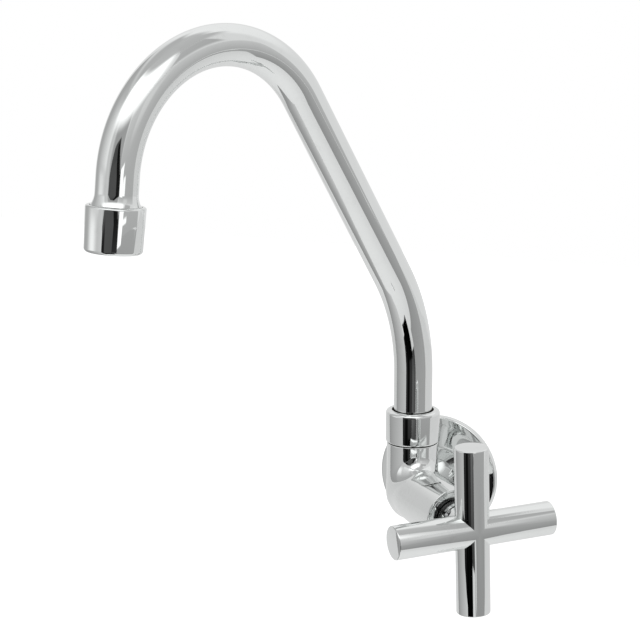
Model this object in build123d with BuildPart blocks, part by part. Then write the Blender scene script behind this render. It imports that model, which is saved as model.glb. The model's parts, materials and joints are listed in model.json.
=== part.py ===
from build123d import *
from math import cos, radians, sin
import os

os.makedirs("parts", exist_ok=True)

# Wall-mounted kitchen tap: a swivel spout and a screw-down valve on one elbow casting.
# Millimetres. Origin on the inlet axis at the wall face, X right, -Y out of the wall, Z up.
# Heights on the spout are taken from the valve axis, depths in the valve from the spout axis.

# Layout of the spout and valve axes, which cross in the corner of the casting above the inlet
axis_out = 38.5  # wall face to the spout axis
valve_rise = 2.7  # inlet axis to the valve axis
spout_turn = 24.5  # spout swung left of straight out, degrees
valve_turn = 45.0  # valve set right of straight out, degrees
handle_turn = 1.8  # cross handle off the upright, degrees

# Clearances
running_fit = 0.1  # radial, turning and sliding fits
thread_fit = 0.15  # radial, plain cylinders that stand for threads
press_gap = 0.05  # radial, pieces pressed or screwed tight
face_gap = 0.1  # between faces that slide on each other
seal_gap = 0.3  # rubber short of the face that it closes on

# Elbow casting
socket_r = 12.15
socket_top = 23.9
boss_r = 13.4
boss_start = 3.5
boss_end = 46.5
neck_r = 11.4
saddle_round = 5.0
neck_round = 2.0
edge_break = 0.3

# Wall shank, G 1/2 major diameter
shank_r = 10.48
shank_len = 13.0
shank_chamfer = 0.8
relief_r = 9.6
relief_end = 2.0
inlet_bore_r = 6.5

# Wall flange
flange_r = 29.6
flange_height = 4.6
flange_wall = 1.5
rim_height = 3.4
rim_band = 3.4
rim_round = 1.0
dish_drop = 0.8
dish_edge = 0.5
hub_r = 13.5
flange_fit = 0.25
foot_ring = 2.6

# Spout swivel
spigot_r = 10.9
spigot_top = 34.0
swivel_bore_r = 8.6
swivel_floor = 12.0
slip_height = 1.0
bush_flange_r = 10.5
bush_flange_height = 1.2
bush_len = 20.0
bush_bore_r = 5.6
tube_spigot_height = 6.0
spout_seal_d = 1.5
spout_seal_drop = 6.0
spout_seal_spacing = 5.0
spout_seal_count = 2
groove_slack = 0.4

# Collar nut
collar_r = 12.7
collar_bottom = 24.3
collar_lip = 2.2
collar_mouth_r = 9.9
collar_round = 1.6
collar_foot_round = 0.9

# Spout tube, drawn in its own upright plane
tube_r = 9.0
tube_wall = 1.05
riser_top = 57.5
lower_bend_r = 90.0
lean_angle = 32.6
lean_len = 103.0
arch_r = 54.7
arch_turn = 141.6
drop_len = 7.4

# Outlet bush and aerator, down the outlet axis from the end of the tube
flare_len = 4.7
flare_r = 10.3
outlet_thread_r = 10.8
outlet_bore_r = 6.6
outlet_spigot_len = 5.0
seam = 0.15
housing_top_r = 12.55
housing_bottom_r = 12.15
housing_len = 19.4
housing_shoulder_round = 0.9
housing_foot_round = 1.6
housing_lip = 3.2
housing_mouth_r = 9.8
outlet_washer_r = 8.8
outlet_washer_height = 1.4
insert_flange_height = 1.6
insert_inset = 0.8
insert_fit = 0.2
jet_r = 0.75
jet_spacing = 2.6
jet_ring_count = 3
screen_r = 8.5
screen_height = 0.35
screen_gap = 0.15
screen_count = 2

# Valve seat and chamber
seat_hole_r = 4.6
seat_end = 15.3
seat_r = 6.4
seat_ridge = 0.8
chamber_r = 10.6
chamber_floor = 12.5
port_r = 2.2
port_start = 3.0
port_rise = 12.6
port_fall = 8.8

# Valve bonnet
face_r = 12.3
face_height = 2.2
face_inset = 0.2
face_chamfer = 0.35
face_slope = 0.45
ring_seat_depth = 0.5
bonnet_tail = 25.2
seal_seat = 42.9
seal_wall = 1.3
key_r = 7.7
key_flat = 6.1
shoulder = 36.1
spanner_hole_r = 0.8
spanner_hole_depth = 1.2
spanner_hole_circle_r = 10.4

# Spindle
journal_r = 4.5
thrust_r = 5.9
thrust_height = 2.0
thrust_washer_height = 0.7
screw_r = 3.6
square = 6.0
square_corner_r = 4.1
square_len = 10.7
spindle_seal_d = 1.5
spindle_seal_start = 38.6
spindle_seal_spacing = 3.0
spindle_seal_count = 2
clip_r = 6.2
clip_height = 0.7
clip_depth = 0.8
clip_opening = 2.4

# Plunger, its rubber and the screw that holds it
plunger_lift = 4.0
plunger_web = 2.2
plunger_bore_depth = 8.5
plunger_key_fit = 0.15
washer_r = 6.6
washer_thick = 2.7
cup_depth = 1.3
cup_wall = 0.6
screw_head_r = 3.2
screw_head = 1.2
screw_shank_r = 1.8
screw_bite = 1.8
screw_slot = 0.8

# Cross handle
handle_reach = 65.5
arm_r = 7.75
arm_half = 38.7
arm_edge = 0.5
skirt_r = 8.4
skirt_start = 50.0
sleeve_r = 5.5
sleeve_inset = 0.6
sleeve_len = 10.7
grub_r = 2.0
grub_place = 53.6
grub_turn = 52.0
grub_inset = 0.9
grub_key = 1.1
grub_key_depth = 1.6
ring_r = 8.5
ring_bore_r = 6.9
ring_fit = 0.2
ring_waist = 0.45

# Directions, planes and axes
up = Vector(0, 0, 1)
inlet_end = Vector(0, -axis_out, 0)
corner = inlet_end + up * valve_rise
spout_dir = Vector(-sin(radians(spout_turn)), -cos(radians(spout_turn)), 0)
valve_dir = Vector(sin(radians(valve_turn)), -cos(radians(valve_turn)), 0)
valve_side = Vector(cos(radians(valve_turn)), sin(radians(valve_turn)), 0)
spout_section = Plane(corner, x_dir=spout_dir, z_dir=spout_dir.cross(up))
valve_section = Plane(corner, x_dir=valve_side, z_dir=valve_side.cross(valve_dir))
swivel_axis = Axis(corner, up)
valve_axis = Axis(corner, valve_dir)
grub_dir = up.rotate(valve_axis, grub_turn)

# Places that follow from the sizes above
lower_slip_top = spigot_top + slip_height
bush_flange_foot = lower_slip_top + face_gap
tube_foot = bush_flange_foot + bush_flange_height
upper_slip_foot = tube_foot + face_gap
collar_lip_foot = upper_slip_foot + slip_height
collar_top = collar_lip_foot + collar_lip
bush_r = swivel_bore_r - running_fit
tube_bore_r = tube_r - tube_wall
flange_bore_r = shank_r + flange_fit
dish_r = flange_r - rim_band - dish_edge
dish_front = rim_height - dish_drop
face_end = boss_end - face_inset
face_foot = face_end - face_height
ring_seat = face_end - face_slope - ring_seat_depth
clip_start = ring_seat + face_gap
web_start = seat_end + seal_gap + washer_thick
web_end = web_start + plunger_web
plunger_top = web_end + plunger_bore_depth
screw_tip = web_end + plunger_lift + seal_gap
thrust_end = shoulder - thrust_washer_height - face_gap
sleeve_start = skirt_start + sleeve_inset
housing_start = flare_len + seam
housing_end = housing_start + housing_len
lip_top = housing_end - housing_lip
insert_top = lip_top - insert_flange_height
outlet_thread_end = insert_top - outlet_washer_height


def planeOnValveAxis(depth, x_dir=valve_side):
    return Plane(corner + valve_dir * depth, x_dir=x_dir, z_dir=valve_dir)


def profile(section, *points):
    with BuildSketch(section) as outline:
        with BuildLine():
            Polyline(*points, close=True)
        make_face()
    return outline.sketch


def roundProfile(section, radius, *centres):
    with BuildSketch(section) as outline:
        with Locations(*centres):
            Circle(radius)
    return outline.sketch


# Elbow casting: socket and valve boss in one round corner, with the neck and shank to the wall
port_top = corner + valve_dir * port_start + up * port_rise
port_bottom = corner + valve_dir * (chamber_floor + port_r) + up * port_fall
with BuildPart() as body_casting:
    with BuildSketch(Plane(corner)):
        Circle(socket_r)
    extrude(amount=socket_top)
    with Locations(corner):
        Sphere(socket_r)
    with Locations(corner + valve_dir * boss_start):
        Sphere(boss_r)
    with BuildSketch(planeOnValveAxis(boss_start)):
        Circle(boss_r)
    extrude(amount=boss_end - boss_start)
    fillet(body_casting.edges().filter_by(GeomType.BSPLINE), radius=saddle_round)
    with Locations(inlet_end):
        Sphere(neck_r)
    with BuildSketch(Plane(inlet_end, x_dir=(1, 0, 0), z_dir=(0, 1, 0))):
        Circle(neck_r)
    extrude(amount=axis_out - flange_height)
    neck_seam = (
        body_casting.edges()
        .filter_by(GeomType.BSPLINE)
        .filter_by_position(Axis.Y, -axis_out, -flange_height)
        .filter_by(lambda e: abs((e.center() - inlet_end).cross(Vector(0, 1, 0)).length - neck_r) < press_gap)
    )
    fillet(neck_seam, radius=neck_round)
    rims = body_casting.edges().filter_by(GeomType.CIRCLE)
    fillet(
        rims.filter_by(lambda e: abs(e.radius - boss_r) < press_gap).sort_by(valve_axis)[-1],
        radius=edge_break,
    )
    fillet(
        rims.filter_by(lambda e: abs(e.radius - socket_r) < press_gap).sort_by(Axis.Z)[-1],
        radius=edge_break,
    )
    with BuildSketch(Plane(corner + up * socket_top)):
        Circle(spigot_r)
    extrude(amount=spigot_top - socket_top)
    shank = profile(
        Plane.XY,
        (0, -flange_height),
        (relief_r, -flange_height),
        (relief_r, -relief_end),
        (shank_r, -relief_end),
        (shank_r, shank_len - shank_chamfer),
        (shank_r - shank_chamfer, shank_len),
        (0, shank_len),
    )
    revolve(shank, axis=Axis.Y)
    with BuildSketch(Plane(corner + up * swivel_floor)):
        Circle(swivel_bore_r)
    extrude(amount=spigot_top - swivel_floor, mode=Mode.SUBTRACT)
    chamber = profile(
        valve_section,
        (seat_r, chamber_floor),
        (chamber_r, chamber_floor),
        (chamber_r, seal_seat),
        (face_r + press_gap, seal_seat),
        (face_r + press_gap, boss_end),
        (0, boss_end),
        (0, seat_end),
        (seat_r - seat_ridge, seat_end),
        (seat_r, seat_end - seat_ridge),
    )
    revolve(chamber, axis=valve_axis, mode=Mode.SUBTRACT)
    with BuildSketch(planeOnValveAxis(0)):
        Circle(seat_hole_r)
    extrude(amount=seat_end, mode=Mode.SUBTRACT)
    with BuildSketch(Plane((0, shank_len, 0), x_dir=(1, 0, 0), z_dir=(0, -1, 0))):
        Circle(inlet_bore_r)
    extrude(amount=shank_len + axis_out, mode=Mode.SUBTRACT)
    with BuildSketch(Plane(port_top, z_dir=port_bottom - port_top)):
        Circle(port_r)
    extrude(amount=(port_bottom - port_top).length, mode=Mode.SUBTRACT)
body_casting.part.label = "body_casting"
export_step(body_casting.part, "parts/body_casting.step")

# Wall flange: thin dished cover with a raised rim band, its flat hub held by the neck's shoulder
with BuildPart() as wall_flange:
    with BuildSketch(Plane.XY):
        with BuildLine():
            back = Polyline(
                (dish_r, flange_wall - dish_front),
                (flange_r - foot_ring, flange_wall - dish_front),
                (flange_r - foot_ring, 0),
                (flange_r, 0),
                (flange_r, -rim_height),
                (flange_r - rim_band, -rim_height),
                (dish_r, -dish_front),
            )
            dish = Spline(back @ 1, (hub_r, -flange_height), tangents=((-1, 0), (-1, 0)))
            hub = Polyline(
                dish @ 1,
                (flange_bore_r, -flange_height),
                (flange_bore_r, flange_wall - flange_height),
                (hub_r, flange_wall - flange_height),
            )
            Spline(hub @ 1, back @ 0, tangents=((1, 0), (1, 0)))
        make_face()
    revolve(axis=Axis.Y)
    rim_edges = wall_flange.edges().filter_by(GeomType.CIRCLE).filter_by_position(
        Axis.Y, -rim_height - press_gap, -rim_height + press_gap
    )
    fillet(rim_edges.sort_by(SortBy.RADIUS)[-1], radius=rim_round)
wall_flange.part.label = "wall_flange"
export_step(wall_flange.part, "parts/wall_flange.step")

# Collar nut: screws on the spigot and holds the spout down under its inner lip
with BuildPart() as collar_nut:
    nut = profile(
        spout_section,
        (spigot_r + thread_fit, collar_bottom),
        (collar_r, collar_bottom),
        (collar_r, collar_top),
        (collar_mouth_r, collar_top),
        (collar_mouth_r, collar_lip_foot),
        (spigot_r + thread_fit, collar_lip_foot),
    )
    revolve(nut, axis=swivel_axis)
    outer_rims = (
        collar_nut.edges()
        .filter_by(GeomType.CIRCLE)
        .filter_by(lambda e: abs(e.radius - collar_r) < press_gap)
        .sort_by(Axis.Z)
    )
    fillet(outer_rims[-1], radius=collar_round)
    outer_rims = (
        collar_nut.edges()
        .filter_by(GeomType.CIRCLE)
        .filter_by(lambda e: abs(e.radius - collar_r) < press_gap)
        .sort_by(Axis.Z)
    )
    fillet(outer_rims[0], radius=collar_foot_round)
collar_nut.part.label = "collar_nut"
export_step(collar_nut.part, "parts/collar_nut.step")

# Slip rings: one below the bush flange, one between it and the collar's lip
with BuildPart() as slip_rings:
    with BuildSketch(Plane(corner + up * spigot_top)):
        Circle(bush_flange_r)
        Circle(swivel_bore_r, mode=Mode.SUBTRACT)
    extrude(amount=slip_height)
    with BuildSketch(Plane(corner + up * upper_slip_foot)):
        Circle(bush_flange_r)
        Circle(tube_r + running_fit, mode=Mode.SUBTRACT)
    extrude(amount=slip_height)
slip_rings.part.label = "slip_rings"
export_step(slip_rings.part, "parts/slip_rings.step")

# Spout bush: turns in the socket bore and carries the tube on a short spigot
spout_seal_heights = [
    bush_flange_foot - spout_seal_drop - spout_seal_spacing * i for i in range(spout_seal_count)
]
with BuildPart() as spout_bush:
    turned = profile(
        spout_section,
        (bush_bore_r, bush_flange_foot - bush_len),
        (bush_r, bush_flange_foot - bush_len),
        (bush_r, bush_flange_foot),
        (bush_flange_r, bush_flange_foot),
        (bush_flange_r, tube_foot),
        (tube_bore_r - press_gap, tube_foot),
        (tube_bore_r - press_gap, tube_foot + tube_spigot_height),
        (bush_bore_r, tube_foot + tube_spigot_height),
    )
    revolve(turned, axis=swivel_axis)
    for height in spout_seal_heights:
        half = (spout_seal_d + groove_slack) / 2
        groove = profile(
            spout_section,
            (bush_r - spout_seal_d - press_gap, height - half),
            (swivel_bore_r, height - half),
            (swivel_bore_r, height + half),
            (bush_r - spout_seal_d - press_gap, height + half),
        )
        revolve(groove, axis=swivel_axis, mode=Mode.SUBTRACT)
spout_bush.part.label = "spout_bush"
export_step(spout_bush.part, "parts/spout_bush.step")

# Rubber rings in the grooves of the spout bush
with BuildPart() as spout_o_rings:
    ring_centre_r = bush_r - spout_seal_d / 2
    rings = roundProfile(
        spout_section, spout_seal_d / 2, *[(ring_centre_r, height) for height in spout_seal_heights]
    )
    revolve(rings, axis=swivel_axis)
spout_o_rings.part.label = "spout_o_rings"
export_step(spout_o_rings.part, "parts/spout_o_rings.step")

# Spout tube: riser, gentle lower bend, leaning run, high arch and a drop to the outlet
with BuildPart() as spout_tube:
    with BuildLine(spout_section) as spout_path:
        riser = Line((0, tube_foot), (0, riser_top))
        lower_bend = JernArc(riser @ 1, riser % 1, lower_bend_r, -lean_angle)
        leaning = PolarLine(lower_bend @ 1, lean_len, direction=lower_bend % 1)
        arch = JernArc(leaning @ 1, leaning % 1, arch_r, -arch_turn)
        drop = PolarLine(arch @ 1, drop_len, direction=arch % 1)
    with BuildSketch(Plane(riser @ 0, x_dir=spout_dir, z_dir=riser % 0)):
        Circle(tube_r)
        Circle(tube_bore_r, mode=Mode.SUBTRACT)
    sweep(path=spout_path.wire())
spout_tube.part.label = "spout_tube"
export_step(spout_tube.part, "parts/spout_tube.step")

# Outlet axis, from the end of the tube towards the mouth
outlet_dir = drop % 1
outlet_section = Plane(
    drop @ 1, x_dir=outlet_dir.cross(-spout_section.z_dir), z_dir=-spout_section.z_dir
)
outlet_axis = Axis(drop @ 1, outlet_dir)


def planeOnOutletAxis(depth):
    return Plane(drop @ 1 + outlet_dir * depth, x_dir=spout_section.z_dir, z_dir=outlet_dir)


# Outlet bush: flares out from the tube and carries the aerator's thread
with BuildPart() as outlet_bush:
    with BuildSketch(outlet_section):
        with BuildLine():
            flare = TangentArc((tube_r, 0), (flare_r, flare_len), tangent=(0, 1))
            Polyline(
                flare @ 1,
                (outlet_thread_r, flare_len),
                (outlet_thread_r, outlet_thread_end),
                (outlet_bore_r, outlet_thread_end),
                (outlet_bore_r, -outlet_spigot_len),
                (tube_bore_r - press_gap, -outlet_spigot_len),
                (tube_bore_r - press_gap, 0),
                flare @ 0,
            )
        make_face()
    revolve(axis=outlet_axis)
outlet_bush.part.label = "outlet_bush"
export_step(outlet_bush.part, "parts/outlet_bush.step")

# Aerator housing: slightly tapered cup with rounded edges and an inner lip at the mouth
with BuildPart() as aerator_housing:
    with BuildSketch(outlet_section):
        with BuildLine():
            Polyline(
                (outlet_thread_r + thread_fit, housing_start),
                (housing_top_r, housing_start),
                (housing_bottom_r, housing_end),
                (housing_mouth_r, housing_end),
                (housing_mouth_r, lip_top),
                (outlet_thread_r + thread_fit, lip_top),
                close=True,
            )
        make_face()
    revolve(axis=outlet_axis)
    housing_rims = aerator_housing.edges().filter_by(GeomType.CIRCLE).sort_by(SortBy.RADIUS)
    fillet(housing_rims[-1], radius=housing_shoulder_round)
    housing_rims = (
        aerator_housing.edges()
        .filter_by(GeomType.CIRCLE)
        .filter_by(lambda e: abs(e.radius - housing_bottom_r) < press_gap)
        .sort_by(outlet_axis)
    )
    fillet(housing_rims[-1], radius=housing_foot_round)
aerator_housing.part.label = "aerator_housing"
export_step(aerator_housing.part, "parts/aerator_housing.step")

# Flat rubber washer between the outlet bush and the aerator insert
with BuildPart() as aerator_washer:
    with BuildSketch(planeOnOutletAxis(outlet_thread_end)):
        Circle(outlet_thread_r - press_gap)
        Circle(outlet_washer_r, mode=Mode.SUBTRACT)
    extrude(amount=outlet_washer_height)
aerator_washer.part.label = "aerator_washer"
export_step(aerator_washer.part, "parts/aerator_washer.step")

# Aerator insert: flanged plug that sits on the housing's lip, drilled with rings of jets
with BuildPart() as aerator_insert:
    with BuildSketch(planeOnOutletAxis(insert_top)):
        Circle(outlet_thread_r - press_gap)
    extrude(amount=insert_flange_height)
    with BuildSketch(planeOnOutletAxis(lip_top)):
        Circle(housing_mouth_r - insert_fit)
    extrude(amount=housing_lip - insert_inset)
    with BuildSketch(planeOnOutletAxis(insert_top)):
        Circle(jet_r)
        for ring in range(1, jet_ring_count + 1):
            with PolarLocations(jet_spacing * ring, 6 * ring):
                Circle(jet_r)
    extrude(amount=housing_end - insert_top, mode=Mode.SUBTRACT)
aerator_insert.part.label = "aerator_insert"
export_step(aerator_insert.part, "parts/aerator_insert.step")

# Strainer discs stacked on the insert, inside the washer
with BuildPart() as aerator_screens:
    for layer in range(1, screen_count + 1):
        with BuildSketch(planeOnOutletAxis(insert_top - layer * (screen_height + screen_gap))):
            Circle(screen_r)
        extrude(amount=screen_height)
aerator_screens.part.label = "aerator_screens"
export_step(aerator_screens.part, "parts/aerator_screens.step")

# Valve bonnet: screwed into the boss, dished in front, with a keyed bore for the plunger
with BuildPart() as valve_bonnet:
    turned = profile(
        valve_section,
        (0, bonnet_tail),
        (chamber_r - thread_fit, bonnet_tail),
        (chamber_r - thread_fit, face_foot),
        (face_r, face_foot),
        (face_r, face_end - face_chamfer),
        (face_r - face_chamfer, face_end),
        (ring_r + ring_fit, face_end - face_slope),
        (ring_r + ring_fit, ring_seat),
        (journal_r + running_fit, ring_seat),
        (journal_r + running_fit, shoulder),
        (0, shoulder),
    )
    revolve(turned, axis=valve_axis)
    with BuildSketch(planeOnValveAxis(bonnet_tail)):
        Circle(key_r)
        Rectangle(2 * key_flat, 2 * key_r, mode=Mode.INTERSECT)
    extrude(amount=shoulder - bonnet_tail, mode=Mode.SUBTRACT)
    with BuildSketch(planeOnValveAxis(face_end)):
        with PolarLocations(spanner_hole_circle_r, 2, start_angle=45):
            Circle(spanner_hole_r)
    extrude(amount=-spanner_hole_depth - face_slope / 2, mode=Mode.SUBTRACT)
valve_bonnet.part.label = "valve_bonnet"
export_step(valve_bonnet.part, "parts/valve_bonnet.step")

# Flat seal between the bonnet's flange and the boss
with BuildPart() as bonnet_seal:
    with BuildSketch(planeOnValveAxis(seal_seat)):
        Circle(face_r - press_gap)
        Circle(face_r - seal_wall, mode=Mode.SUBTRACT)
    extrude(amount=face_foot - seal_seat)
bonnet_seal.part.label = "bonnet_seal"
export_step(bonnet_seal.part, "parts/bonnet_seal.step")

# Dark dust ring that fills the gap between the bonnet and the handle's skirt
ring_end = skirt_start - face_gap
ring_middle = (face_end + ring_end) / 2
with BuildPart() as dust_ring:
    turned = profile(
        valve_section,
        (ring_bore_r, ring_seat),
        (ring_r, ring_seat),
        (ring_r, ring_middle - ring_waist),
        (ring_r - ring_waist, ring_middle),
        (ring_r, ring_middle + ring_waist),
        (ring_r, ring_end),
        (ring_bore_r, ring_end),
    )
    revolve(turned, axis=valve_axis)
dust_ring.part.label = "dust_ring"
export_step(dust_ring.part, "parts/dust_ring.step")

# Spindle: lifting screw, thrust collar, sealed journal and the square that drives it
spindle_seal_depths = [spindle_seal_start + spindle_seal_spacing * i for i in range(spindle_seal_count)]
with BuildPart() as spindle:
    turned = profile(
        valve_section,
        (0, screw_tip),
        (screw_r, screw_tip),
        (screw_r, thrust_end - thrust_height),
        (thrust_r, thrust_end - thrust_height),
        (thrust_r, thrust_end),
        (journal_r, thrust_end),
        (journal_r, skirt_start),
        (0, skirt_start),
    )
    revolve(turned, axis=valve_axis)
    with BuildSketch(planeOnValveAxis(skirt_start, grub_dir)):
        Circle(square_corner_r)
        Rectangle(square, square, mode=Mode.INTERSECT)
    extrude(amount=square_len)
    for depth in spindle_seal_depths:
        half = (spindle_seal_d + groove_slack) / 2
        groove = profile(
            valve_section,
            (journal_r - spindle_seal_d - press_gap, depth - half),
            (journal_r + running_fit, depth - half),
            (journal_r + running_fit, depth + half),
            (journal_r - spindle_seal_d - press_gap, depth + half),
        )
        revolve(groove, axis=valve_axis, mode=Mode.SUBTRACT)
    clip_groove = profile(
        valve_section,
        (journal_r - clip_depth, clip_start - press_gap),
        (journal_r + running_fit, clip_start - press_gap),
        (journal_r + running_fit, clip_start + clip_height + press_gap),
        (journal_r - clip_depth, clip_start + clip_height + press_gap),
    )
    revolve(clip_groove, axis=valve_axis, mode=Mode.SUBTRACT)
spindle.part.label = "spindle"
export_step(spindle.part, "parts/spindle.step")

# Rubber rings in the grooves of the spindle
with BuildPart() as spindle_o_rings:
    ring_centre_r = journal_r - spindle_seal_d / 2
    rings = roundProfile(
        valve_section, spindle_seal_d / 2, *[(ring_centre_r, depth) for depth in spindle_seal_depths]
    )
    revolve(rings, axis=valve_axis)
spindle_o_rings.part.label = "spindle_o_rings"
export_step(spindle_o_rings.part, "parts/spindle_o_rings.step")

# Thrust washer between the spindle's collar and the bonnet's shoulder
with BuildPart() as thrust_washer:
    with BuildSketch(planeOnValveAxis(thrust_end)):
        Circle(thrust_r)
        Circle(journal_r + running_fit, mode=Mode.SUBTRACT)
    extrude(amount=thrust_washer_height)
thrust_washer.part.label = "thrust_washer"
export_step(thrust_washer.part, "parts/thrust_washer.step")

# Open spring clip that keeps the spindle from dropping back into the bonnet
with BuildPart() as spindle_clip:
    with BuildSketch(planeOnValveAxis(clip_start)):
        Circle(clip_r)
        Circle(journal_r - clip_depth + press_gap, mode=Mode.SUBTRACT)
        with Locations((0, -clip_r / 2)):
            Rectangle(clip_opening, clip_r, mode=Mode.SUBTRACT)
    extrude(amount=clip_height)
spindle_clip.part.label = "spindle_clip"
export_step(spindle_clip.part, "parts/spindle_clip.step")

# Plunger: keyed nut on the spindle's screw, with a cup for the seat washer
with BuildPart() as valve_plunger:
    with BuildSketch(planeOnValveAxis(web_start - cup_depth)):
        Circle(washer_r + cup_wall)
    extrude(amount=cup_depth + plunger_web)
    with BuildSketch(planeOnValveAxis(web_end)):
        Circle(key_r - plunger_key_fit)
        Rectangle(2 * (key_flat - plunger_key_fit), 2 * key_r, mode=Mode.INTERSECT)
    extrude(amount=plunger_bore_depth)
    with BuildSketch(planeOnValveAxis(web_end)):
        Circle(screw_r + thread_fit)
    extrude(amount=plunger_bore_depth, mode=Mode.SUBTRACT)
    with BuildSketch(planeOnValveAxis(web_start - cup_depth)):
        Circle(washer_r + press_gap)
    extrude(amount=cup_depth, mode=Mode.SUBTRACT)
    with BuildSketch(planeOnValveAxis(web_start)):
        Circle(screw_shank_r + press_gap)
    extrude(amount=screw_bite + press_gap, mode=Mode.SUBTRACT)
valve_plunger.part.label = "valve_plunger"
export_step(valve_plunger.part, "parts/valve_plunger.step")

# Rubber washer that closes on the seat
with BuildPart() as seat_washer:
    with BuildSketch(planeOnValveAxis(web_start - washer_thick)):
        Circle(washer_r)
        Circle(screw_shank_r + press_gap, mode=Mode.SUBTRACT)
    extrude(amount=washer_thick)
seat_washer.part.label = "seat_washer"
export_step(seat_washer.part, "parts/seat_washer.step")

# Slotted screw that holds the rubber washer in its cup
with BuildPart() as washer_screw:
    with BuildSketch(planeOnValveAxis(web_start - washer_thick - screw_head)):
        Circle(screw_head_r)
    extrude(amount=screw_head)
    with BuildSketch(planeOnValveAxis(web_start - washer_thick)):
        Circle(screw_shank_r)
    extrude(amount=washer_thick + screw_bite)
    with BuildSketch(planeOnValveAxis(web_start - washer_thick - screw_head)):
        Rectangle(2 * screw_head_r, screw_slot)
    extrude(amount=screw_head / 2, mode=Mode.SUBTRACT)
washer_screw.part.label = "washer_screw"
export_step(washer_screw.part, "parts/washer_screw.step")

# Cross handle: two round bars that cross on the valve axis, and a skirt towards the bonnet
handle_centre = corner + valve_dir * handle_reach
upright = up.rotate(valve_axis, handle_turn)
level = valve_side.rotate(valve_axis, handle_turn)
with BuildPart() as handle_cross:
    with BuildSketch(Plane(handle_centre, x_dir=valve_dir, z_dir=upright)):
        Circle(arm_r)
    extrude(amount=arm_half, both=True)
    with BuildSketch(Plane(handle_centre, x_dir=valve_dir, z_dir=level)):
        Circle(arm_r)
    extrude(amount=arm_half, both=True)
    arm_ends = handle_cross.edges().filter_by(GeomType.CIRCLE)
    fillet(arm_ends, radius=arm_edge)
    with BuildSketch(planeOnValveAxis(skirt_start)):
        Circle(skirt_r)
    extrude(amount=handle_reach - skirt_start)
    with BuildSketch(planeOnValveAxis(skirt_start)):
        Circle(sleeve_r + press_gap)
    extrude(amount=sleeve_inset + sleeve_len + press_gap, mode=Mode.SUBTRACT)
    with BuildSketch(Plane(corner + valve_dir * grub_place, x_dir=valve_dir, z_dir=grub_dir)):
        Circle(grub_r + press_gap)
    extrude(amount=2 * skirt_r, mode=Mode.SUBTRACT)
handle_cross.part.label = "handle_cross"
export_step(handle_cross.part, "parts/handle_cross.step")

# Drive sleeve: pressed into the handle, with the square hole that fits the spindle
with BuildPart() as drive_sleeve:
    with BuildSketch(planeOnValveAxis(sleeve_start, grub_dir)):
        Circle(sleeve_r)
        Rectangle(square + 2 * press_gap, square + 2 * press_gap, mode=Mode.SUBTRACT)
    extrude(amount=sleeve_len)
    with BuildSketch(Plane(corner + valve_dir * grub_place, x_dir=valve_dir, z_dir=grub_dir)):
        Circle(grub_r + press_gap)
    extrude(amount=2 * skirt_r, mode=Mode.SUBTRACT)
drive_sleeve.part.label = "drive_sleeve"
export_step(drive_sleeve.part, "parts/drive_sleeve.step")

# Grub screw through skirt and sleeve, tight on a flat of the square
grub_foot = corner + valve_dir * grub_place + grub_dir * (square / 2 + press_gap)
grub_len = skirt_r - grub_inset - square / 2 - press_gap
with BuildPart() as grub_screw:
    with BuildSketch(Plane(grub_foot, x_dir=valve_dir, z_dir=grub_dir)):
        Circle(grub_r)
    extrude(amount=grub_len)
    with BuildSketch(Plane(grub_foot + grub_dir * grub_len, x_dir=valve_dir, z_dir=grub_dir)):
        RegularPolygon(grub_key, 6)
    extrude(amount=-grub_key_depth, mode=Mode.SUBTRACT)
grub_screw.part.label = "grub_screw"
export_step(grub_screw.part, "parts/grub_screw.step")
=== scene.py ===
import json
from math import cos, pi, radians, sin

import bmesh
import bpy
from mathutils import Matrix, Vector
import numpy as np


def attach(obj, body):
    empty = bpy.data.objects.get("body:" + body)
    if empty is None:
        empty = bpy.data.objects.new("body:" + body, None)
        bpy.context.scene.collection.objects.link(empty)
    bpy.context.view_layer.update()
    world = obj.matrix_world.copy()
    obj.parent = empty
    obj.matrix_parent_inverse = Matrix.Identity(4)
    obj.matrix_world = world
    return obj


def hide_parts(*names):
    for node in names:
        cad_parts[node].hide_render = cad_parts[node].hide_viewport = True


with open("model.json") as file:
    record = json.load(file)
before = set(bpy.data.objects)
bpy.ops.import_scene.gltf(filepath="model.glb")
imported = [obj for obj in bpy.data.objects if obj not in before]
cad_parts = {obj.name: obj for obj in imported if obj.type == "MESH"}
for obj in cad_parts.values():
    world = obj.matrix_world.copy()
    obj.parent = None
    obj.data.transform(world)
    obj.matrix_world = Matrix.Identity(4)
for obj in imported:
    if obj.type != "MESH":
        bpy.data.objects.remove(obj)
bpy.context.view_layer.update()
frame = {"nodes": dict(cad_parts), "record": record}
nodes = frame["nodes"]
mm = 0.001
sameSpot = 1e-7  # metres; what is nearer than this is in one place
mergeGap = 1e-6  # metres; vertices nearer than this become one
noLength = 1e-9  # a direction shorter than this is none

# The axes that meet in the corner of the casting, in millimetres and degrees
layout = {"wallToSpout": 38.5, "valveRise": 2.7, "spoutTurn": 24.5, "valveTurn": 45.0}
up = Vector((0, 0, 1))
outward = Vector((0, -1, 0))
wallCentre = Vector((0, 0, 0))
corner = (outward * layout["wallToSpout"] + up * layout["valveRise"]) * mm
spoutDir = Vector((-sin(radians(layout["spoutTurn"])), -cos(radians(layout["spoutTurn"])), 0))
valveDir = Vector((sin(radians(layout["valveTurn"])), -cos(radians(layout["valveTurn"])), 0))
valveSide = up.cross(valveDir)


# Modelling helpers

def ease(t):  # 0 to 1 with a level start and end
    return t * t * (3 - 2 * t)


def freshStart():
    if bpy.context.mode != "OBJECT":
        bpy.ops.object.mode_set(mode="OBJECT")
    bpy.ops.object.select_all(action="DESELECT")


def pick(piece):
    freshStart()
    piece.select_set(True)
    bpy.context.view_layer.objects.active = piece


def openEdit(piece):
    pick(piece)
    bpy.ops.object.mode_set(mode="EDIT")
    bpy.ops.mesh.select_mode(type="EDGE")
    bpy.ops.mesh.select_all(action="DESELECT")


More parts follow.
